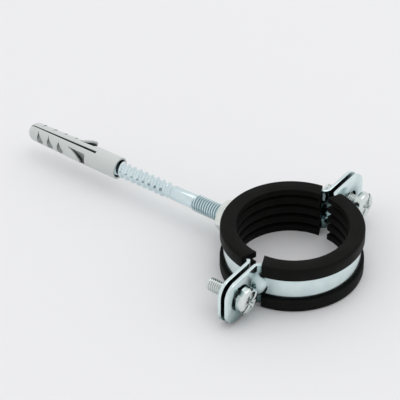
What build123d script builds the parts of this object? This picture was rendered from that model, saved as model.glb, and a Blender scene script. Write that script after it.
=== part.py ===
"""Rubber lined pipe clamp with its hanger bolt and wall plug.

Frame, in millimetres: the origin is the centre of the pipe bore, half way up the strip.
+Z runs along the pipe, +Y points at the right-hand ears, and the hanger bolt leaves
the rear half along -X. Two half rings of steel strip close on the pipe along X.
"""
import os
from math import asin, atan2, cos, degrees, radians, sin, sqrt

from build123d import *

# ---- Rubber lining -------------------------------------------------------------------
pipe_radius = 25.0          # bore of the closed lining
lining_wall = 4.0           # rubber between the pipe and the steel strip
edge_cover = 1.25           # rubber over each edge of the strip
lip_wall = 1.5              # rubber outside the strip
lip_height = 6.0            # how far each outer lip reaches along the pipe
lip_corner = 1.2            # rounding of the outer corners
grip_rib_count = 5          # ribs that grip the pipe
grip_rib_width = 2.9
groove_depth = 2.4
groove_draft = 0.45         # how much each side of a groove leans back
lining_end_inside = 2.2     # from the split plane to the lining's inner end corner
lining_end_outside = 5.4    # the same for its outer end corner, clear of the bend

# ---- Steel strip halves --------------------------------------------------------------
strip_width = 21.0
strip_thickness = 1.5
strip_clearance = 0.03      # between the strip and the channel of the lining
ear_gap = 2.0               # between the two ears as the clamp is supplied
ear_length = 22.5           # from the outside of the ring to the end of the ear
ear_corner = 6.5
bend_radius = 2.0           # inside radius where the ring turns into the ear
bead_radius = 6.2           # pressed bead that stiffens the bend
bead_setback = 1.1          # from the corner of the bend back to the bead's centre
bead_root = 0.8             # how deep in the strip's thickness the bead's outside starts

# ---- Closing screws ------------------------------------------------------------------
screw_radius = 3.0
screw_length = 18.0
screw_pitch_from_ring = 12.0    # from the outside of the ring to the screw's axis
screw_head_radius = 6.0
screw_head_height = 4.0
head_side_height = 2.3
head_shoulder_radius = 4.6      # where the rounding of the head meets its crown
head_shoulder_height = 3.75
head_round_radius = 5.5         # a point half way round the rounding
head_round_height = 3.3
screw_point_chamfer = 0.7
driver_slot_width = 1.5
driver_slot_depth = 1.5
driver_cross_width = 1.7
driver_cross_span = 6.4
driver_cross_depth = 2.6
driver_cross_floor_width = 1.0
driver_cross_floor_span = 3.2
driver_core_radius = 1.6        # round middle of the cross
driver_core_floor_radius = 1.0
driver_turn_left = 119.0    # how far round from upright the slot has come to stand, degrees
driver_turn_right = 145.0
tapped_hole_clearance = 0.05
clear_hole_clearance = 0.35
slot_travel = 3.6           # how far a screw can shift along the slot of the front ear
head_seat_gap = 0.1
left_screw_backed_out = 1.0     # as supplied, the heads stand a little off the ears
right_screw_backed_out = 5.2

# ---- Weld nut and hanger bolt --------------------------------------------------------
nut_across_flats = 13.0
nut_height = 7.0
nut_corner_chamfer = 0.8
nut_relief = 0.3            # rubber trimmed back around the nut
bolt_radius = 4.0
bolt_clearance = 0.05       # in the tapped hole of the nut
bolt_end_gap = 0.5          # between the end of the bolt and the strip
machine_thread_length = 22.0
shank_radius = 3.35
shank_length = 12.0
wood_thread_radius = 3.8
wood_core_radius = 2.75
wood_pitch = 3.3
wood_turns = 12
wood_root_share = 0.35      # part of the pitch that is core, before the crest rises
wood_crest_start = 0.62     # where in the pitch the crest is reached
wood_crest_end = 0.72
gimlet_length = 6.0
bolt_chamfer = 0.8

# ---- Wall plug -----------------------------------------------------------------------
plug_radius = 5.2
plug_length = 52.0
plug_tip_radius = 4.4
plug_tip_rounding = 3.9
plug_plain_length = 14.0    # straight part at the mouth, before the taper
plug_on_bolt = 15.0         # how far the bolt stands in the plug
plug_bolt_clearance = 0.5
plug_pilot_radius = 1.7     # narrow bore that the bolt spreads
plug_mouth_depth = 9.0      # wide bore before it narrows
plug_bore_end_wall = 6.0    # solid nose beyond the bore
slit_tip_width = 0.35
slit_end_width = 1.2        # where the bolt has spread it, towards the mouth
slit_from_mouth = 12.3
plug_roll = -20.0           # how the plug stands turned on the bolt, degrees
pocket_end_radius = 1.8     # round lower end of a grip pocket
pocket_lean = 1.8           # how far a pocket leans over towards the mouth
pocket_pitch = 6.0
pocket_from_tip = 6.7
pocket_start_angle = 19.0   # round the plug from the slit, degrees
pocket_end_angle = 78.0
near_pocket_count = 3
far_pocket_count = 4
barb_angle = 66.0           # round the plug from the slit to the middle of a barb, degrees
near_barb_length = 7.8
far_barb_length = 6.2
barb_root_width = 5.0
barb_tip_width = 1.2
barb_bulge = 0.8            # how far the slanting side of a barb bows out
barb_thickness = 1.1
barb_overlap = 0.6          # how far the barb's root runs into the plug
near_barb_from_pocket = 6.2     # from the last pocket to where the barb springs
far_barb_from_pocket = 3.8
near_barb_lift = 0.8            # how far the free end stands proud of the plug
far_barb_lift = 1.9
recess_depth = 2.0          # hollow under a barb
recess_beyond_tip = 2.4
recess_side_gap = 0.25
recess_corner = 1.0

# ---- Worked out from the above -------------------------------------------------------
strip_inside = pipe_radius + lining_wall
strip_outside = strip_inside + strip_thickness
lip_outside = strip_outside + lip_wall
lining_height = strip_width + 2 * edge_cover
ear_face = ear_gap / 2                      # face of an ear towards the split
ear_back = ear_face + strip_thickness       # face of an ear away from the split
ear_end = strip_outside + ear_length
screw_offset = strip_outside + screw_pitch_from_ring
bend_centre_y = sqrt((strip_outside + bend_radius) ** 2 - (ear_back + bend_radius) ** 2)
nut_face = strip_outside + nut_height
nut_corner_radius = nut_across_flats / 2 / cos(radians(30))
bolt_start = strip_outside + bolt_end_gap
wood_thread_start = machine_thread_length + shank_length
wood_thread_length = wood_turns * wood_pitch
bolt_length = wood_thread_start + wood_thread_length + gimlet_length
plug_mouth = bolt_start + bolt_length - plug_on_bolt
plug_bore_radius = wood_thread_radius + plug_bolt_clearance


def arc_about(centre, start, end):
    """Arc from start to end whose middle lies on the same circle about centre."""
    cx, cy = centre
    radius = sqrt((start[0] - cx) ** 2 + (start[1] - cy) ** 2)
    mid_angle = atan2((start[1] + end[1]) / 2 - cy, (start[0] + end[0]) / 2 - cx)
    middle = (cx + radius * cos(mid_angle), cy + radius * sin(mid_angle))
    return ThreePointArc(start, middle, end)


def strip_plan():
    """Plan of the front strip: half ring, a bend at each end, and two flat ears."""
    bend_x = ear_back + bend_radius
    on_outside = strip_outside / (strip_outside + bend_radius)
    on_inside = strip_inside / (strip_outside + bend_radius)
    outer = (bend_x * on_outside, bend_centre_y * on_outside)
    inner = (bend_x * on_inside, bend_centre_y * on_inside)
    bend = (bend_x, bend_centre_y)

    def low(point):
        return (point[0], -point[1])

    edges = [
        Line((ear_back, -ear_end), (ear_back, -bend_centre_y)),
        arc_about(low(bend), (ear_back, -bend_centre_y), low(outer)),
        ThreePointArc(low(outer), (strip_outside, 0), outer),
        arc_about(bend, outer, (ear_back, bend_centre_y)),
        Line((ear_back, bend_centre_y), (ear_back, ear_end)),
        Line((ear_back, ear_end), (ear_face, ear_end)),
        Line((ear_face, ear_end), (ear_face, bend_centre_y)),
        arc_about(bend, (ear_face, bend_centre_y), inner),
        ThreePointArc(inner, (strip_inside, 0), low(inner)),
        arc_about(low(bend), low(inner), (ear_face, -bend_centre_y)),
        Line((ear_face, -bend_centre_y), (ear_face, -ear_end)),
        Line((ear_face, -ear_end), (ear_back, -ear_end)),
    ]
    return make_face(Wire(edges))


def bead_centre(side):
    """Centre of the pressed bead at the left (-1) or right (+1) bend."""
    return Pos(ear_face - bead_setback, side * (strip_inside - bead_setback), 0)


def bare_strip():
    """Front strip half with rounded ears and pressed beads, without screw holes."""
    strip = extrude(strip_plan(), strip_width / 2, both=True)
    ear_ends = strip.edges().filter_by(Axis.X).filter_by(lambda e: abs(e.center().Y) > ear_end - 1)
    strip = fillet(ear_ends, ear_corner)
    reach = bead_radius + strip_thickness
    rooted = bead_root * strip_thickness
    ring_side = Cylinder(strip_inside + rooted, 4 * reach)
    split_side = Pos(ear_face + rooted - reach, 0, 0) * Box(2 * reach, 4 * strip_outside, 4 * reach)
    for side in (-1, 1):
        bulge = bead_centre(side) * Sphere(reach) - ring_side - split_side
        strip = strip + bulge - bead_centre(side) * Sphere(bead_radius)
    return strip


def across_ears(side):
    """Placement on the screw's axis with local Z along +X."""
    return Pos(0, side * screw_offset, 0) * Rot(0, 90, 0)


def front_strip():
    """Front half: each ear has a slot, so that the screws can shift to suit the pipe."""
    hole_radius = screw_radius + clear_hole_clearance
    slot = extrude(SlotCenterToCenter(slot_travel, 2 * hole_radius, rotation=90), ear_back + 1)
    strip = bare_strip()
    for side in (-1, 1):
        strip = strip - across_ears(side) * slot
    return strip


def rear_strip():
    """Rear half: the same pressing turned about, with tapped holes in its ears."""
    tapped = Cylinder(screw_radius + tapped_hole_clearance, 4 * ear_back)
    strip = mirror(bare_strip(), Plane.YZ)
    for side in (-1, 1):
        strip = strip - across_ears(side) * tapped
    return strip


def rib_outline():
    """Points up the bore of the lining, in and out of the grooves between its ribs."""
    half = lining_height / 2
    groove_width = (lining_height - grip_rib_count * grip_rib_width) / (grip_rib_count - 1)
    points = [(pipe_radius, -half)]
    for i in range(grip_rib_count - 1):
        low = -half + (i + 1) * grip_rib_width + i * groove_width
        high = low + groove_width
        floor = pipe_radius + groove_depth
        points += [(pipe_radius, low), (floor, low + groove_draft)]
        points += [(floor, high - groove_draft), (pipe_radius, high)]
    return points + [(pipe_radius, half)]


def lining_section():
    """Section of the lining through its wall: a channel that wraps the strip's edges."""
    half = lining_height / 2
    strip_half = strip_width / 2 + strip_clearance
    back = strip_inside - strip_clearance
    lip_inside = strip_outside + strip_clearance
    lip_end = half - lip_height
    points = rib_outline() + [
        (lip_outside, half), (lip_outside, lip_end), (lip_inside, lip_end),
        (lip_inside, strip_half), (back, strip_half), (back, -strip_half),
        (lip_inside, -strip_half), (lip_inside, -lip_end),
        (lip_outside, -lip_end), (lip_outside, -half),
    ]
    section = make_face(Polyline([(r, 0, z) for r, z in points], close=True)).face()
    corners = section.vertices().filter_by(lambda v: abs(v.Z) > half - 0.01 and v.X > strip_outside)
    return section.fillet_2d(lip_corner, corners)


def lining_keep():
    """Plan of the front lining: its ends are cut on a slant, clear of the bends."""
    slope = (lining_end_outside - lining_end_inside) / (lip_outside - pipe_radius)
    far = 2 * lip_outside - strip_inside
    far_x = lining_end_inside + slope * (far - pipe_radius)
    points = [
        (lining_end_inside, -pipe_radius), (far_x, -far), (far, -far),
        (far, far), (far_x, far), (lining_end_inside, pipe_radius),
    ]
    inner_x = lining_end_inside - slope * (pipe_radius / 2)
    points += [(inner_x, pipe_radius / 2), (inner_x, -pipe_radius / 2)]
    return make_face(Polyline(points, close=True))


def front_lining():
    ring = revolve(lining_section(), Axis.Z, 360)
    return ring & extrude(lining_keep(), lining_height, both=True)


def rear_lining():
    """The front lining turned about, with its lips trimmed around the weld nut."""
    trimmed = nut_corner_radius + nut_relief
    window = Rot(0, -90, 0) * extrude(RegularPolygon(trimmed, 6, rotation=90), 2 * nut_face)
    window = window - Cylinder(strip_outside, lining_height)
    return mirror(front_lining(), Plane.YZ) - window


def weld_nut():
    """Hexagon nut whose seat follows the curve of the strip that it is welded to."""
    blank = extrude(RegularPolygon(nut_corner_radius, 6, rotation=90), nut_face)
    chamfered_face = turned([
        (0, 0), (nut_corner_radius, 0), (nut_corner_radius, nut_face - nut_corner_chamfer),
        (nut_across_flats / 2 - 0.2, nut_face), (0, nut_face),
    ])
    bore = Cylinder(bolt_radius + bolt_clearance, 3 * nut_face)
    nut = Rot(0, -90, 0) * ((blank & chamfered_face) - bore)
    return nut - Cylinder(strip_outside, 2 * strip_width)


def along_bolt(distance):
    """Placement on the bolt's axis, distance from the origin, with local Z along -X."""
    return Pos(-distance, 0, 0) * Rot(0, -90, 0)


def turned(points):
    """Solid of revolution about local Z from (radius, height) points."""
    return revolve(make_face(Polyline([(r, 0, z) for r, z in points], close=True)), Axis.Z, 360)


def wood_thread_points():
    """Outline of the coarse thread, drawn as one ring to each turn, to the gimlet point."""
    points = []
    for turn in range(wood_turns):
        start = wood_thread_start + turn * wood_pitch
        points += [(wood_core_radius, start)]
        points += [(wood_core_radius, start + wood_root_share * wood_pitch)]
        points += [(wood_thread_radius, start + wood_crest_start * wood_pitch)]
        points += [(wood_thread_radius, start + wood_crest_end * wood_pitch)]
    thread_end = wood_thread_start + wood_thread_length
    return points + [(wood_core_radius, thread_end)]


def hanger_bolt():
    points = [(0, 0), (bolt_radius - bolt_chamfer, 0), (bolt_radius, bolt_chamfer)]
    points += [(bolt_radius, machine_thread_length), (shank_radius, machine_thread_length)]
    points += [(shank_radius, wood_thread_start)]
    points += wood_thread_points()
    points += [(0, bolt_length)]
    return along_bolt(bolt_start) * turned(points)


def pan_head():
    """Head of a closing screw: a short upright side and a low crown."""
    waist = (screw_head_radius, head_side_height)
    middle = (head_round_radius, head_round_height)
    shoulder = (head_shoulder_radius, head_shoulder_height)
    top = (0, screw_head_height)

    def up(point):
        return (point[0], 0, point[1])

    edges = [
        Line((0, 0, 0), (screw_head_radius, 0, 0)),
        Line((screw_head_radius, 0, 0), up(waist)),
        ThreePointArc(up(waist), up(middle), up(shoulder)),
        Line(up(shoulder), up(top)),
        Line(up(top), (0, 0, 0)),
    ]
    return revolve(make_face(Wire(edges)), Axis.Z, 360)


def driver_recess():
    """Combined recess: a slot right across the head and a tapered cross in its middle."""
    high = Align.CENTER, Align.CENTER, Align.MAX
    slot = Box(3 * screw_head_radius, driver_slot_width, driver_slot_depth, align=high)
    wing_top = Rectangle(driver_cross_span, driver_cross_width)
    wing_floor = Rectangle(driver_cross_floor_span, driver_cross_floor_width)
    wing = loft([wing_top.face(), (Pos(0, 0, -driver_cross_depth) * wing_floor).face()])
    core = turned([
        (0, 0), (driver_core_radius, 0),
        (driver_core_floor_radius, -driver_cross_depth), (0, -driver_cross_depth),
    ])
    cross = wing + Rot(0, 0, 90) * wing + core
    return Pos(0, 0, screw_head_height + 0.001) * (slot + cross)


def closing_screw(side, backed_out, turn):
    """Screw through one pair of ears, with its head against the front ear."""
    shank_points = [
        (0, 0), (screw_radius, 0), (screw_radius, screw_point_chamfer - screw_length),
        (screw_radius - screw_point_chamfer, -screw_length), (0, -screw_length),
    ]
    screw = turned(shank_points) + pan_head() - Rot(0, 0, turn) * driver_recess()
    seat = ear_back + head_seat_gap + backed_out
    return across_ears(side) * Pos(0, 0, seat) * screw


def plug_body():
    """Nylon plug: straight at the mouth, tapered to a rounded nose, bored for the bolt."""
    nose = plug_length - plug_tip_rounding
    corner = plug_tip_radius - plug_tip_rounding
    bend = plug_tip_rounding * sin(radians(45))
    edges = [
        Line((0, 0, 0), (plug_radius, 0, 0)),
        Line((plug_radius, 0, 0), (plug_radius, 0, plug_plain_length)),
        Line((plug_radius, 0, plug_plain_length), (plug_tip_radius, 0, nose)),
        ThreePointArc((plug_tip_radius, 0, nose), (corner + bend, 0, nose + bend),
                      (corner, 0, plug_length)),
        Line((corner, 0, plug_length), (0, 0, plug_length)),
        Line((0, 0, plug_length), (0, 0, 0)),
    ]
    outside = revolve(make_face(Wire(edges)), Axis.Z, 360)
    bore_end = plug_length - plug_bore_end_wall
    bore = turned([
        (0, -1), (plug_bore_radius, -1), (plug_bore_radius, plug_mouth_depth),
        (plug_pilot_radius, plug_on_bolt + plug_bolt_clearance),
        (plug_pilot_radius, bore_end), (0, bore_end),
    ])
    return outside - bore


def plug_surface(along):
    """Radius of the plug's outside at a distance from its mouth."""
    taper = max(0.0, (along - plug_plain_length) / (plug_length - plug_plain_length))
    return plug_radius - taper * (plug_radius - plug_tip_radius)


def grip_pocket(side, along):
    """Drop-shaped cutter on the near (-1) or far (+1) flank, with its point near the slit."""
    surface = plug_surface(along)
    start_turn = side * radians(pocket_start_angle)
    end_turn = side * radians(pocket_end_angle)
    start = Vector(surface * cos(start_turn), surface * sin(start_turn), along)
    end = Vector(surface * cos(end_turn), surface * sin(end_turn), along - pocket_lean)
    run = (end - start).length
    round_mid = pocket_end_radius * sin(radians(45))
    edges = [
        Line((0, 0, 0), (pocket_end_radius, 0, run)),
        ThreePointArc((pocket_end_radius, 0, run), (round_mid, 0, run + round_mid),
                      (0, 0, run + pocket_end_radius)),
        Line((0, 0, run + pocket_end_radius), (0, 0, 0)),
    ]
    drop = revolve(make_face(Wire(edges)), Axis.Z, 360)
    return Plane(origin=start, z_dir=end - start) * drop


def pocket_place(number):
    """Distance from the mouth to the tip side of a pocket; number 0 is nearest the tip."""
    return plug_length - pocket_from_tip - number * pocket_pitch


def barb_recess(root, length):
    """Cutter for the hollow behind a barb; local +X points out of the plug."""
    surface = plug_surface(root)
    tip = root - length
    outline = [
        (2 * surface, root), (surface - barb_thickness, root), (surface - recess_depth, tip),
        (surface - recess_depth, tip - recess_beyond_tip), (2 * surface, tip - recess_beyond_tip),
    ]
    face = make_face(Polyline([(x, 0, z) for x, z in outline], close=True))
    cutter = extrude(face, barb_root_width / 2 + recess_side_gap, both=True)
    corners = cutter.edges().filter_by(Axis.X).sort_by(Axis.Z)[:2]
    return fillet(corners, recess_corner)


def barb(side, root, length, lift):
    """Tongue of the plug's wall, bent out so that its free end points at the mouth."""
    surface = plug_surface(root)
    wall = Cylinder(surface, 3 * length) - Cylinder(surface - barb_thickness, 3 * length)
    bend = degrees(asin(lift / length))
    slit_side = -side * barb_root_width / 2
    tip_y = side * (barb_root_width / 2 - barb_tip_width)
    start = (0, slit_side, root)
    tip = (0, tip_y, root - length)
    middle = (0, (slit_side + tip_y) / 2 - side * barb_bulge, root - length / 2)
    edges = [
        Line((0, -slit_side, root + barb_overlap), (0, slit_side, root + barb_overlap)),
        Line((0, slit_side, root + barb_overlap), start),
        ThreePointArc(start, middle, tip),
        Line(tip, (0, -slit_side, root - length)),
        Line((0, -slit_side, root - length), (0, -slit_side, root + barb_overlap)),
    ]
    outline = extrude(make_face(Wire(edges)), 3 * plug_radius, dir=(1, 0, 0))
    return outline & (Pos(0, 0, root) * Rot(0, -bend, 0) * wall)


def plug_slit():
    """Slit through the plug from its tip, wider where the bolt has spread it."""
    half_tip = slit_tip_width / 2
    half_end = slit_end_width / 2
    beyond = plug_length + plug_tip_rounding
    corners = [
        (-half_end, slit_from_mouth), (half_end, slit_from_mouth),
        (half_tip, beyond), (-half_tip, beyond),
    ]
    face = make_face(Polyline([(0, y, z) for y, z in corners], close=True))
    return extrude(face, 2 * plug_radius, both=True)


def wall_plug():
    """Slit plug with grip pockets and one barb on each flank."""
    flanks = [
        (-1, near_pocket_count, near_barb_from_pocket, near_barb_length, near_barb_lift),
        (1, far_pocket_count, far_barb_from_pocket, far_barb_length, far_barb_lift),
    ]
    plug = plug_body()
    for side, pocket_count, barb_from_pocket, length, lift in flanks:
        for number in range(pocket_count):
            plug = plug - grip_pocket(side, pocket_place(number))
        root = pocket_place(pocket_count - 1) - barb_from_pocket
        turn = Rot(0, 0, side * barb_angle)
        plug = plug - turn * barb_recess(root, length) + turn * barb(side, root, length, lift)
    return along_bolt(plug_mouth) * Rot(0, 0, plug_roll) * (plug - plug_slit())


def main():
    os.makedirs("parts", exist_ok=True)
    parts = {
        "rear_band": rear_strip(),
        "front_band": front_strip(),
        "rear_liner": rear_lining(),
        "front_liner": front_lining(),
        "weld_nut": weld_nut(),
        "hanger_bolt": hanger_bolt(),
        "wall_plug": wall_plug(),
        "left_closing_screw": closing_screw(-1, left_screw_backed_out, driver_turn_left),
        "right_closing_screw": closing_screw(1, right_screw_backed_out, driver_turn_right),
    }
    for name, shape in parts.items():
        export_step(shape, f"parts/{name}.step")


main()
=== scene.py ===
"""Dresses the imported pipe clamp: threads, softened edges, materials, studio and camera.

Everything is in the model's frame: the origin is the centre of the pipe bore, +Z runs
along the pipe and the hanger bolt leaves along -X. Sizes below are in millimetres and
angles in degrees, unless a comment says otherwise.
"""

from collections import namedtuple
from math import ceil, cos, radians, sin, tau

import bmesh
import bpy
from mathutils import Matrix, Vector

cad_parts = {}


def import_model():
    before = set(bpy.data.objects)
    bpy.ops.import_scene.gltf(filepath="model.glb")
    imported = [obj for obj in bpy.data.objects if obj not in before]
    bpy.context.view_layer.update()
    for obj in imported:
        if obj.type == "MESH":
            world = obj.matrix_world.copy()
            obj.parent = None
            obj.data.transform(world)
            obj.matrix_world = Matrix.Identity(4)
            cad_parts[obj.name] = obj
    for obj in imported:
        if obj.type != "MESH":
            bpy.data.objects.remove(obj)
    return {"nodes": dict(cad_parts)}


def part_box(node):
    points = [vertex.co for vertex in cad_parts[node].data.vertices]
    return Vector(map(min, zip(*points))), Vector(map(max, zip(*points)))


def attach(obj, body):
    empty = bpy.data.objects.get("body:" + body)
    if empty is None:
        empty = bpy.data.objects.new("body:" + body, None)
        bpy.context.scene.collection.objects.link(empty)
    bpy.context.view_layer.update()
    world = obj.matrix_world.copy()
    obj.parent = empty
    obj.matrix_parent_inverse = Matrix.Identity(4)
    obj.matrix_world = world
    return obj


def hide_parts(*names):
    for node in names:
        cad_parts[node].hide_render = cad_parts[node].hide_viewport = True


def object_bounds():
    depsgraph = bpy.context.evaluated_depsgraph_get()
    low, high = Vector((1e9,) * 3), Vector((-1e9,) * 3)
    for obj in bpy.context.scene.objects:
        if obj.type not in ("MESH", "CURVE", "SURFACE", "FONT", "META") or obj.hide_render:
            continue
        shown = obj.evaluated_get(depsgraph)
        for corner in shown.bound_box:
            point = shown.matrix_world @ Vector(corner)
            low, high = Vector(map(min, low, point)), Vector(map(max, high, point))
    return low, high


MM = 0.001                          # metres

# ---- Threads, on the sizes that the model's solids have ------------------------------
# root and crest are radii. shares are the parts of a pitch over which the thread rises,
# stays up and falls.
Thread = namedtuple("Thread", "root crest pitch shares")

ISO_DEPTH = 0.61                    # of the pitch
ISO_SHARES = (0.35, 0.14, 0.35)
SIDES = 48                          # faces round a thread or shank

SCREW_RADIUS = 3.0
SCREW_LENGTH = 18.0
SCREW_PITCH = 1.0
SCREW_CORE = SCREW_RADIUS - ISO_DEPTH * SCREW_PITCH
SCREW_THREAD = Thread(SCREW_CORE, SCREW_RADIUS, SCREW_PITCH, ISO_SHARES)
SCREW_NECK_START = 0.05             # from the head's seat to where the new shank starts
SCREW_NECK_END = 0.5
SCREW_THREAD_START = 0.9
SCREW_RUNOUT = 0.8                  # length over which the crest rises at each end
SEAT_TOLERANCE = 0.01

BOLT_RADIUS = 4.0
BOLT_PITCH = 1.25
BOLT_CORE = BOLT_RADIUS - ISO_DEPTH * BOLT_PITCH
MACHINE_THREAD = Thread(BOLT_CORE, BOLT_RADIUS, BOLT_PITCH, ISO_SHARES)
MACHINE_LENGTH = 22.0
MACHINE_RUNOUT = 0.9
SHANK_RADIUS = 3.35
SHANK_LENGTH = 12.0
SHANK_START_CONE = 0.25             # length over which the shank widens to its radius
SHANK_END_CONE = 0.3                # half the length over which it narrows to the core
WOOD_THREAD = Thread(root=2.75, crest=3.8, pitch=3.3, shares=(0.27, 0.06, 0.27))
WOOD_LENGTH = 39.6
WOOD_RUNOUT = 2.5
WOOD_TURNED = 0.5                   # part of a turn that the wood thread starts at
GIMLET_LENGTH = 6.0
GIMLET_TIP_RADIUS = 0.3

# ---- Edges and shading ---------------------------------------------------------------
BAND_EDGE = 0.1                     # widths of the rounded edges
LINING_EDGE = 0.2
NUT_EDGE = 0.12
PLUG_EDGE = 0.12
EDGE_SEGMENTS = 2
ROUNDED_FROM = 35.0                 # bend from which an edge is rounded
CRISP_FROM = 40.0                   # bend from which an edge isn't shaded smooth
THREAD_CRISP_FROM = 38.0
FLAT_COSINE = 0.985                 # between the true and the rounded normal, on a flat
EDGE_COSINE = 0.85                  # and on an edge
FLAT_WITHIN = 0.5                   # bend up to which facets become one flat face
NODE_WELD = 0.001                   # gaps that are welded in a node
SHANK_WELD = 0.002                  # and where the rings of a new shank meet
COLLAPSED = 0.0001                  # edges this short are dissolved

# ---- Zinc ----------------------------------------------------------------------------
# light and dark are the colours of its faint clouds, then come a painted shade where other
# parts stand within reach (mm) and a darker painted shade in hollows. hollow holds the distance,
# closed and opened of Shader.hollow_mask. gloss is the roughness of light clouds, dark clouds and
# hollows.
Zinc = namedtuple("Zinc", "light dark near reach deep hollow gloss")

STRIP_ZINC = Zinc(light=(0.78, 0.90, 0.90), dark=(0.69, 0.81, 0.82),
                  near=(0.20, 0.30, 0.31), reach=11.0,
                  deep=(0.012, 0.014, 0.013), hollow=(6.0, 0.17, 0.48),
                  gloss=(0.13, 0.20, 0.45))
NUT_ZINC = Zinc(light=(0.81, 0.85, 0.80), dark=(0.70, 0.75, 0.71),
                near=(0.60, 0.64, 0.61), reach=6.0,
                deep=(0.22, 0.23, 0.21), hollow=(1.2, 0.25, 0.85),
                gloss=(0.2, 0.3, 0.45))
BOLT_ZINC = Zinc(light=(0.76, 0.88, 0.90), dark=(0.67, 0.79, 0.82),
                 near=(0.44, 0.57, 0.60), reach=3.0,
                 deep=(0.22, 0.28, 0.29), hollow=(0.8, 0.15, 0.75),
                 gloss=(0.10, 0.17, 0.35))
SCREW_ZINC = Zinc(light=(0.78, 0.83, 0.81), dark=(0.68, 0.74, 0.73),
                  near=(0.50, 0.57, 0.56), reach=6.0,
                  deep=(0.06, 0.07, 0.07), hollow=(1.0, 0.25, 0.85),
                  gloss=(0.12, 0.19, 0.35))
CLOSE_SHADE_SKY = (0.42, 0.9)              # unblocked shares of the sky at which the painted shade of close parts is full and gone
# Painted highlight along the zinc's edges:
HIGHLIGHT_TIMES = 1.25                   # how much lighter than its light clouds the highlight is
HIGHLIGHT_WIDTH = 0.16

# ---- Rubber and nylon ----------------------------------------------------------------
RUBBER_CLEAN = (0.0036, 0.0036, 0.0032)
RUBBER_DUSTY = (0.0062, 0.0062, 0.0054)
# painted highlight along the rubber's edges, and its width (mm)
RUBBER_HIGHLIGHT = (0.017, 0.017, 0.015)
RUBBER_HIGHLIGHT_WIDTH = 0.25
RUBBER_SPECULAR = 0.08
RUBBER_ROUGHNESS = (0.48, 0.62)     # in the valleys and on the tops of its grain
NYLON_DARK = (0.57, 0.605, 0.59)
NYLON_LIGHT = (0.60, 0.63, 0.615)
# painted shade in the nylon's hollows, and how far (mm) the hollows reach
NYLON_HOLLOW_SHADE = (0.06, 0.067, 0.067)
NYLON_SHADE_REACH = 5.0
NYLON_SPECULAR = 0.4
NYLON_ROUGHNESS = (0.42, 0.54)

# ---- Camera, matched to the photograph -----------------------------------------------
CAMERA_ELEVATION = 37.93
CAMERA_AZIMUTH = 35.87
CAMERA_DISTANCE = 1132.0
CAMERA_AIM = (-53.3, 4.3, -1.75)
CAMERA_LENS = 225.0
CAMERA_SENSOR = 36.0
CAMERA_REACH = 20.0                 # metres

# ---- Studio, with its sizes in metres ------------------------------------------------
BACKDROP_COLOUR = (0.825, 0.825, 0.835)
ROOM_COLOUR = (1.09, 1.09, 1.095)
SKY_LOBES = [                       # direction, angles where it ends and is full, colour
    ((0.0, 0.0, 1.0), 62.0, 34.0, (0.93, 0.93, 0.935)),
    ((0.5, -0.7, 0.45), 34.0, 12.0, (0.42, 0.43, 0.44)),
]
FLOOR_SIZE = 12.0
FLOOR_ROUGHNESS = 0.9
FLOOR_SPECULAR = 0.1
SOFTBOX_PLACE = (0.1, 0.45, 1.4)
SOFTBOX_TARGET = (-0.03, 0.0, 0.0)
SOFTBOX_SIZE = 1.2
SOFTBOX_POWER = 2.5                 # watts


# ---- Node helpers --------------------------------------------------------------------
def mix_colours(tree, factor, first, second):
    """A colour between first and second, each a colour or a socket."""
    node = tree.nodes.new("ShaderNodeMix")
    node.data_type = "RGBA"
    tree.links.new(factor, node.inputs["Factor"])
    for index, value in ((6, first), (7, second)):
        if isinstance(value, tuple):
            node.inputs[index].default_value = (*value, 1.0)
        else:
            tree.links.new(value, node.inputs[index])
    return node.outputs[2]


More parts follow.
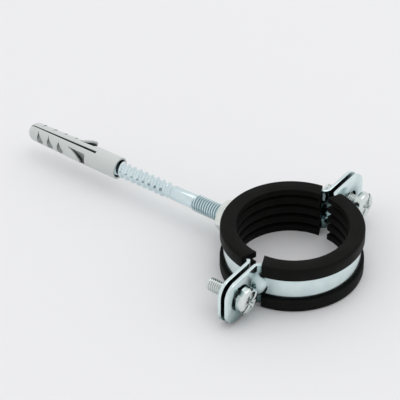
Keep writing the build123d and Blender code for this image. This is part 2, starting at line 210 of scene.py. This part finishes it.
class Shader:
    """A new material with short calls for the nodes it needs."""

    def __init__(self, name):
        self.material = bpy.data.materials.new(name)
        self.material.use_nodes = True
        self.tree = self.material.node_tree
        self.bsdf = self.tree.nodes["Principled BSDF"]
        coordinates = self.tree.nodes.new("ShaderNodeTexCoord")
        self.where = coordinates.outputs["Object"]

    def node(self, kind, **settings):
        """A new node with these settings."""
        node = self.tree.nodes.new(kind)
        for key, value in settings.items():
            setattr(node, key, value)
        return node

    def link(self, source, target):
        self.tree.links.new(source, target)

    def scaled(self, scale):
        """Object coordinates stretched by scale along X, Y and Z."""
        mapping = self.node("ShaderNodeMapping")
        mapping.inputs["Scale"].default_value = scale
        self.link(self.where, mapping.inputs["Vector"])
        return mapping.outputs["Vector"]

    def noise(self, scale, detail, roughness, where=None):
        """Cloudy values around 0.5, with about scale clouds to a metre."""
        node = self.node("ShaderNodeTexNoise")
        node.inputs["Scale"].default_value = scale
        node.inputs["Detail"].default_value = detail
        node.inputs["Roughness"].default_value = roughness
        self.link(where or self.where, node.inputs["Vector"])
        return node.outputs["Fac"]

    def ramp(self, value, low, high, from_value=0.0, to_value=1.0):
        """A value spread from low..high to from_value..to_value."""
        node = self.node("ShaderNodeMapRange")
        node.inputs["From Min"].default_value = low
        node.inputs["From Max"].default_value = high
        node.inputs["To Min"].default_value = from_value
        node.inputs["To Max"].default_value = to_value
        self.link(value, node.inputs["Value"])
        return node.outputs["Result"]

    def mix(self, factor, first, second):
        """A colour between first and second, each a colour or a socket."""
        return mix_colours(self.tree, factor, first, second)

    def blend(self, factor, first, second):
        """A value from the number first to the socket second."""
        node = self.node("ShaderNodeMix", data_type="FLOAT")
        self.link(factor, node.inputs["Factor"])
        node.inputs[2].default_value = first
        self.link(second, node.inputs[3])
        return node.outputs[0]

    def edge_mask(self, width):
        """1 along the edges, width (mm) to each side of them, and 0 on the flats."""
        bevel = self.node("ShaderNodeBevel", samples=6)
        bevel.inputs["Radius"].default_value = width * MM
        geometry = self.node("ShaderNodeNewGeometry")
        dot = self.node("ShaderNodeVectorMath", operation="DOT_PRODUCT")
        self.link(bevel.outputs["Normal"], dot.inputs[0])
        self.link(geometry.outputs["Normal"], dot.inputs[1])
        return self.ramp(dot.outputs["Value"], FLAT_COSINE, EDGE_COSINE)

    def hollow_mask(self, distance, closed=0.25, opened=0.85):
        """0 far inside a hollow or joint narrower than distance (mm), 1 in the open; it masks
        painted shade and duller gloss.

        closed and opened are the unblocked shares of the sky at which it is 0 and 1.
        """
        shade = self.node("ShaderNodeAmbientOcclusion", samples=8)
        shade.inputs["Distance"].default_value = distance * MM
        return self.ramp(shade.outputs["AO"], closed, opened)

    def bump(self, heights):
        """Chains bumps, given as (height socket, distance in mm, strength)."""
        normal = None
        for height, distance, strength in heights:
            node = self.node("ShaderNodeBump")
            node.inputs["Distance"].default_value = distance * MM
            node.inputs["Strength"].default_value = strength
            self.link(height, node.inputs["Height"])
            if normal is not None:
                self.link(normal, node.inputs["Normal"])
            normal = node.outputs["Normal"]
        self.link(normal, self.bsdf.inputs["Normal"])


# ---- Materials -----------------------------------------------------------------------
def zinc(name, look):
    """Zinc plated steel: cloudy in tone and gloss, rougher in hollows, with painted shade in
    hollows and by other parts, and a painted highlight along its edges.
    """
    smooth, rough, dull = look.gloss
    s = Shader(name)
    s.bsdf.inputs["Metallic"].default_value = 1.0
    cloud = s.noise(scale=180.0, detail=3.0, roughness=0.5)
    fine = s.noise(scale=1400.0, detail=2.0, roughness=0.5)
    tone = s.mix(s.ramp(cloud, 0.35, 0.68), look.light, look.dark)
    # Painted shade where other parts stand within reach.
    tone = s.mix(s.hollow_mask(look.reach, *CLOSE_SHADE_SKY), look.near, tone)
    # Painted highlight along the edges.
    edge_highlight = tuple(min(1.0, HIGHLIGHT_TIMES * c) for c in look.light)
    tone = s.mix(s.edge_mask(HIGHLIGHT_WIDTH), tone, edge_highlight)
    # Painted shade in hollows and joints, where the gloss is also duller.
    openness = s.hollow_mask(*look.hollow)
    s.link(s.mix(openness, look.deep, tone), s.bsdf.inputs["Base Color"])
    roughness = s.blend(openness, dull, s.ramp(cloud, 0.35, 0.7, smooth, rough))
    s.link(roughness, s.bsdf.inputs["Roughness"])
    s.bump([(cloud, 0.02, 0.12), (fine, 0.004, 0.3)])
    return s.material


def rubber():
    """Black extruded rubber: matt, faintly dusty, with fine grain from the die and a painted
    highlight along its edges.
    """
    s = Shader("black_rubber")
    s.bsdf.inputs["Specular IOR Level"].default_value = RUBBER_SPECULAR
    dust = s.noise(scale=120.0, detail=5.0, roughness=0.65)
    grain = s.noise(scale=2600.0, detail=2.0, roughness=0.6)
    tone = s.mix(s.ramp(dust, 0.35, 0.75), RUBBER_CLEAN, RUBBER_DUSTY)
    # Painted highlight along the edges.
    tone = s.mix(s.edge_mask(RUBBER_HIGHLIGHT_WIDTH), tone, RUBBER_HIGHLIGHT)
    s.link(tone, s.bsdf.inputs["Base Color"])
    s.link(s.ramp(grain, 0.3, 0.7, *RUBBER_ROUGHNESS), s.bsdf.inputs["Roughness"])
    s.bump([(dust, 0.05, 0.25), (grain, 0.02, 0.4)])
    return s.material


def nylon():
    """Light grey moulded nylon with a soft sheen, slight flow marks and painted shade in its
    hollows.
    """
    s = Shader("grey_nylon")
    s.bsdf.inputs["Specular IOR Level"].default_value = NYLON_SPECULAR
    flow = s.noise(scale=90.0, detail=3.0, roughness=0.5, where=s.scaled((0.3, 1.0, 1.0)))
    grain = s.noise(scale=1500.0, detail=2.0, roughness=0.5)
    tone = s.mix(s.ramp(flow, 0.35, 0.7), NYLON_DARK, NYLON_LIGHT)
    # Painted shade in hollows and in the slit.
    tone = s.mix(s.hollow_mask(NYLON_SHADE_REACH), NYLON_HOLLOW_SHADE, tone)
    s.link(tone, s.bsdf.inputs["Base Color"])
    s.link(s.ramp(grain, 0.3, 0.7, *NYLON_ROUGHNESS), s.bsdf.inputs["Roughness"])
    s.bump([(flow, 0.03, 0.15), (grain, 0.012, 0.3)])
    return s.material


# ---- Meshes --------------------------------------------------------------------------
def new_piece(name, bm, material, body, node):
    """Turns a bmesh in millimetres into a piece that rides on body and replaces node."""
    bmesh.ops.scale(bm, vec=(MM, MM, MM), verts=bm.verts)
    mesh = bpy.data.meshes.new(name)
    bm.to_mesh(mesh)
    bm.free()
    piece = bpy.data.objects.new(name, mesh)
    bpy.context.scene.collection.objects.link(piece)
    mesh.materials.append(material)
    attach(piece, body)
    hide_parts(node)
    return piece


def node_bmesh(frame, node):
    """A welded copy of a CAD node's mesh, in millimetres, with its flat faces whole."""
    bm = bmesh.new()
    bm.from_mesh(frame["nodes"][node].data)
    bmesh.ops.scale(bm, vec=(1 / MM, 1 / MM, 1 / MM), verts=bm.verts)
    bmesh.ops.remove_doubles(bm, verts=bm.verts, dist=NODE_WELD)
    bmesh.ops.dissolve_limit(bm, angle_limit=radians(FLAT_WITHIN), verts=bm.verts, edges=bm.edges)
    return bm


def helix_rings(form, start, end, runout, turned):
    """Rings of (angle, radius, height) that follow a right-hand thread from start to end.

    The crest rises from the root over runout at each end. turned is the part of a turn
    that the whole thread is turned by. Also gives the number of rings in a pitch.
    """
    rise, top, fall = form.shares
    profile = [(0.0, form.root), (rise, form.crest), (rise + top, form.crest),
               (rise + top + fall, form.root)]
    slope = (form.crest - form.root) / runout
    rings = []
    for turn in range(-1, ceil((end - start) / form.pitch) + 2):
        for share, radius in profile:
            ring = []
            for i in range(SIDES):
                height = start + (turn + share + i / SIDES) * form.pitch
                height = min(max(height, start), end)
                highest = form.root + slope * min(height - start, end - height)
                ring.append((tau * (turned + i / SIDES), min(radius, highest), height))
            rings.append(ring)
    return rings, len(profile)


def thread(bm, form, start, end, runout, place, turned=0.0):
    """Skins a threaded length. Where a ring closes, the seam steps up by one pitch."""
    rings, step = helix_rings(form, start, end, runout, turned)
    grid = [[bm.verts.new(place(r * cos(a), r * sin(a), h)) for a, r, h in ring]
            for ring in rings]
    for j in range(len(rings) - 1):
        for i in range(SIDES - 1):
            bm.faces.new((grid[j][i], grid[j][i + 1], grid[j + 1][i + 1], grid[j + 1][i]))
        if j + 1 + step < len(rings):
            bm.faces.new((grid[j][-1], grid[j + step][0], grid[j + 1 + step][0],
                          grid[j + 1][-1]))


def revolved(bm, points, place):
    """Skins the surface of revolution through (radius, height) points."""
    rings = []
    for radius, height in points:
        if radius == 0.0:
            rings.append([bm.verts.new(place(0.0, 0.0, height))])
        else:
            rings.append([bm.verts.new(place(radius * cos(tau * i / SIDES),
                                             radius * sin(tau * i / SIDES), height))
                          for i in range(SIDES)])
    for low, high in zip(rings, rings[1:]):
        for i in range(SIDES):
            k = (i + 1) % SIDES
            if len(low) == 1:
                bm.faces.new((low[0], high[k], high[i]))
            elif len(high) == 1:
                bm.faces.new((low[i], low[k], high[0]))
            else:
                bm.faces.new((low[i], low[k], high[k], high[i]))


def close_up(bm):
    """Welds touching rings, drops collapsed faces and turns all normals outwards."""
    bmesh.ops.remove_doubles(bm, verts=bm.verts, dist=SHANK_WELD)
    bmesh.ops.dissolve_degenerate(bm, edges=bm.edges, dist=COLLAPSED)
    bmesh.ops.recalc_face_normals(bm, faces=bm.faces)


def smooth(piece, crisp_from):
    """Smooth shading, with the edges that bend by crisp_from or more left crisp."""
    piece.data.shade_smooth()
    piece.data.set_sharp_from_angle(angle=radians(crisp_from))


def soften(piece, width):
    """Rounds the sharp edges of a piece and shades it smooth between them."""
    bevel = piece.modifiers.new("edges", "BEVEL")
    bevel.width = width * MM
    bevel.segments = EDGE_SEGMENTS
    bevel.limit_method = "ANGLE"
    bevel.angle_limit = radians(ROUNDED_FROM)
    bevel.use_clamp_overlap = True
    graph = bpy.context.evaluated_depsgraph_get()
    mesh = bpy.data.meshes.new_from_object(piece.evaluated_get(graph))
    piece.modifiers.clear()
    piece.data = mesh
    smooth(piece, CRISP_FROM)


# ---- Pieces --------------------------------------------------------------------------
def softened_node(frame, node, body, material, width):
    """A CAD node with its sharp edges rounded."""
    piece = new_piece(node + "_finished", node_bmesh(frame, node), material, body, node)
    soften(piece, width)


def hanger_bolt(material):
    """Machine thread, rolled shank and coarse wood thread down to the gimlet point."""
    start = -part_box("hanger_bolt")[1].x / MM
    shank_end = MACHINE_LENGTH + SHANK_LENGTH
    wood_start = shank_end + SHANK_END_CONE
    wood_end = shank_end + WOOD_LENGTH
    point = wood_end + GIMLET_LENGTH

    def place(x, y, along):
        return (-(start + along), y, x)

    bm = bmesh.new()
    revolved(bm, [(0.0, 0.0), (MACHINE_THREAD.root, 0.0)], place)
    thread(bm, MACHINE_THREAD, 0.0, MACHINE_LENGTH, MACHINE_RUNOUT, place)
    revolved(bm, [(MACHINE_THREAD.root, MACHINE_LENGTH),
                  (SHANK_RADIUS, MACHINE_LENGTH + SHANK_START_CONE),
                  (SHANK_RADIUS, shank_end - SHANK_END_CONE),
                  (WOOD_THREAD.root, wood_start)], place)
    thread(bm, WOOD_THREAD, wood_start, wood_end, WOOD_RUNOUT, place, WOOD_TURNED)
    revolved(bm, [(WOOD_THREAD.root, wood_end), (GIMLET_TIP_RADIUS, point), (0.0, point)], place)
    close_up(bm)
    piece = new_piece("hanger_bolt_threaded", bm, material, "hanger", "hanger_bolt")
    smooth(piece, THREAD_CRISP_FROM)


def closing_screw(frame, node, body, material):
    """The node's head with its driver recess, on a shank that is really threaded."""
    low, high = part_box(node)
    axis_y = 0.5 * (low.y + high.y) / MM
    seat = low.x / MM + SCREW_LENGTH
    neck = seat - SCREW_NECK_START

    def place(x, y, along):
        return (seat - along, axis_y + y, x)

    bm = node_bmesh(frame, node)
    shank = [f for f in bm.faces if f.calc_center_median().x < seat - SEAT_TOLERANCE]
    bmesh.ops.delete(bm, geom=shank, context="FACES")
    under_head = [e for e in bm.edges if e.is_boundary]
    revolved(bm, [(SCREW_RADIUS, SCREW_NECK_START), (SCREW_RADIUS, SCREW_NECK_END),
                  (SCREW_THREAD.root, SCREW_THREAD_START)], place)
    round_neck = [e for e in bm.edges
                  if e.is_boundary and abs(e.verts[0].co.x - neck) < SEAT_TOLERANCE]
    bmesh.ops.bridge_loops(bm, edges=under_head + round_neck)
    thread(bm, SCREW_THREAD, SCREW_THREAD_START, SCREW_LENGTH, SCREW_RUNOUT, place)
    revolved(bm, [(SCREW_THREAD.root, SCREW_LENGTH), (0.0, SCREW_LENGTH)], place)
    close_up(bm)
    piece = new_piece(node + "_threaded", bm, material, body, node)
    smooth(piece, THREAD_CRISP_FROM)


# ---- Studio --------------------------------------------------------------------------
def aim_at(thing, target):
    """Turns a camera or lamp to face target."""
    thing.rotation_euler = (Vector(target) - thing.location).to_track_quat("-Z", "Y").to_euler()


def sky_lobe(tree, direction, toward, wide, tight):
    """1 within tight degrees of a direction of the sky, fading to 0 at wide degrees."""
    dot = tree.nodes.new("ShaderNodeVectorMath")
    dot.operation = "DOT_PRODUCT"
    tree.links.new(direction, dot.inputs[0])
    dot.inputs[1].default_value = Vector(toward).normalized()
    fade = tree.nodes.new("ShaderNodeMapRange")
    fade.interpolation_type = "SMOOTHSTEP"
    fade.inputs["From Min"].default_value = cos(radians(wide))
    fade.inputs["From Max"].default_value = cos(radians(tight))
    tree.links.new(dot.outputs["Value"], fade.inputs["Value"])
    return fade.outputs["Result"]


def backdrop_rays(tree):
    """1 for the rays that see the backdrop, directly or in a shiny or clear surface."""
    path = tree.nodes.new("ShaderNodeLightPath")
    looking = path.outputs["Is Camera Ray"]
    for ray in ("Is Glossy Ray", "Is Transmission Ray"):
        either = tree.nodes.new("ShaderNodeMath")
        either.operation = "MAXIMUM"
        tree.links.new(looking, either.inputs[0])
        tree.links.new(path.outputs[ray], either.inputs[1])
        looking = either.outputs["Value"]
    return looking


def studio_world():
    """A pale room, a little dimmer overhead and darker where the viewer stands.

    It lights the matt surfaces. The camera and shiny surfaces see an even backdrop.
    """
    world = bpy.data.worlds.new("studio")
    bpy.context.scene.world = world
    world.use_nodes = True
    tree = world.node_tree
    direction = tree.nodes.new("ShaderNodeTexCoord").outputs["Generated"]
    colour = ROOM_COLOUR
    for toward, wide, tight, tone in SKY_LOBES:
        colour = mix_colours(tree, sky_lobe(tree, direction, toward, wide, tight), colour, tone)
    room = tree.nodes["Background"]
    room.inputs["Strength"].default_value = 1.0
    tree.links.new(colour, room.inputs["Color"])
    backdrop = tree.nodes.new("ShaderNodeBackground")
    backdrop.inputs["Strength"].default_value = 1.0
    backdrop.inputs["Color"].default_value = (*BACKDROP_COLOUR, 1.0)
    mix = tree.nodes.new("ShaderNodeMixShader")
    tree.links.new(backdrop_rays(tree), mix.inputs["Fac"])
    tree.links.new(room.outputs["Background"], mix.inputs[1])
    tree.links.new(backdrop.outputs["Background"], mix.inputs[2])
    tree.links.new(mix.outputs["Shader"], tree.nodes["World Output"].inputs["Surface"])


def studio_floor(height):
    """A wide matt floor in the backdrop's colour."""
    bpy.ops.mesh.primitive_plane_add(size=FLOOR_SIZE, location=(0.0, 0.0, height))
    floor = bpy.context.active_object
    floor.name = "floor"
    s = Shader("floor")
    s.bsdf.inputs["Base Color"].default_value = (*BACKDROP_COLOUR, 1.0)
    s.bsdf.inputs["Roughness"].default_value = FLOOR_ROUGHNESS
    s.bsdf.inputs["Specular IOR Level"].default_value = FLOOR_SPECULAR
    floor.data.materials.append(s.material)


def softbox():
    """A faint square lamp above the object, for a soft shadow under it."""
    light = bpy.data.lights.new("softbox", "AREA")
    light.shape = "RECTANGLE"
    light.size = light.size_y = SOFTBOX_SIZE
    light.energy = SOFTBOX_POWER
    lamp = bpy.data.objects.new("softbox", light)
    bpy.context.scene.collection.objects.link(lamp)
    lamp.location = SOFTBOX_PLACE
    aim_at(lamp, SOFTBOX_TARGET)


def studio(lowest):
    """The room, the floor under the object's lowest point and the lamp."""
    bpy.context.scene.view_settings.view_transform = "Standard"
    studio_world()
    studio_floor(lowest)
    softbox()


def camera():
    """A long lens at the photograph's angle and distance."""
    lens = bpy.data.cameras.new("camera")
    lens.lens = CAMERA_LENS
    lens.sensor_width = CAMERA_SENSOR
    lens.clip_end = CAMERA_REACH
    eye = bpy.data.objects.new("camera", lens)
    bpy.context.scene.collection.objects.link(eye)
    aim = Vector(CAMERA_AIM) * MM
    elevation, azimuth = radians(CAMERA_ELEVATION), radians(CAMERA_AZIMUTH)
    away = Vector((cos(elevation) * sin(azimuth), -cos(elevation) * cos(azimuth), sin(elevation)))
    eye.location = aim + away * CAMERA_DISTANCE * MM
    aim_at(eye, aim)
    bpy.context.scene.camera = eye


def dress(frame):
    """Replaces every CAD node with its finished piece."""
    strip = zinc("zinc_steel", STRIP_ZINC)
    nut = zinc("zinc_nut", NUT_ZINC)
    bolt = zinc("zinc_bolt", BOLT_ZINC)
    bright = zinc("bright_screw", SCREW_ZINC)
    lining = rubber()
    softened_node(frame, "rear_band", "rear_half", strip, BAND_EDGE)
    softened_node(frame, "front_band", "front_half", strip, BAND_EDGE)
    softened_node(frame, "rear_liner", "rear_half", lining, LINING_EDGE)
    softened_node(frame, "front_liner", "front_half", lining, LINING_EDGE)
    softened_node(frame, "weld_nut", "rear_half", nut, NUT_EDGE)
    softened_node(frame, "wall_plug", "plug", nylon(), PLUG_EDGE)
    hanger_bolt(bolt)
    closing_screw(frame, "left_closing_screw", "left_screw", bright)
    closing_screw(frame, "right_closing_screw", "right_screw", bright)


def main():
    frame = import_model()
    before = [list(corner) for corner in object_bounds()]
    dress(frame)
    studio(before[0][2])
    camera()


main()
